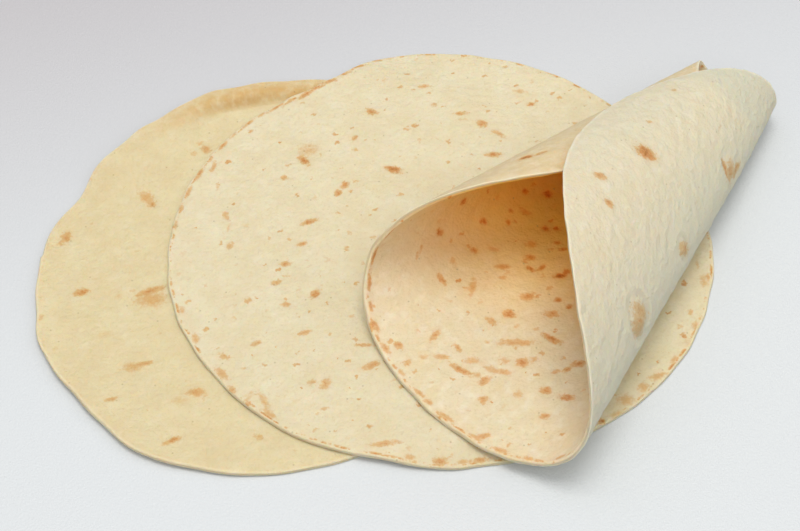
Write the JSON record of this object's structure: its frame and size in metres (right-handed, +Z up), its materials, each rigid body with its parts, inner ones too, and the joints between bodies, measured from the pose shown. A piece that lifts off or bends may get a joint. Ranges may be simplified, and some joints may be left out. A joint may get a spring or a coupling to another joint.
{
  "type": "stack of flour tortillas",
  "caption": "Loose stack of soft flour tortillas: one lies flat with a curled edge, one is draped over it and one is rolled into an open cone on top.",
  "frame": {"origin": "middle of the stack's outline in plan, on the surface that it lies on", "axes": "+X along the stack, from the flat tortilla to the rolled one, +Y away from the cone's wide mouth, +Z up"},
  "size_m": [0.3512, 0.2599, 0.0755],
  "materials": {
    "tortilla_golden": "matt, toasted spots",
    "tortilla_pale": "matt, toasted spots",
    "tortilla_cream": "matt, toasted spots"
  },
  "bodies": {
    "root": {"flat_tortilla": "tortilla_golden", "draped_tortilla": "tortilla_pale", "rolled_tortilla": "tortilla_cream"}
  },
  "joints": []
}
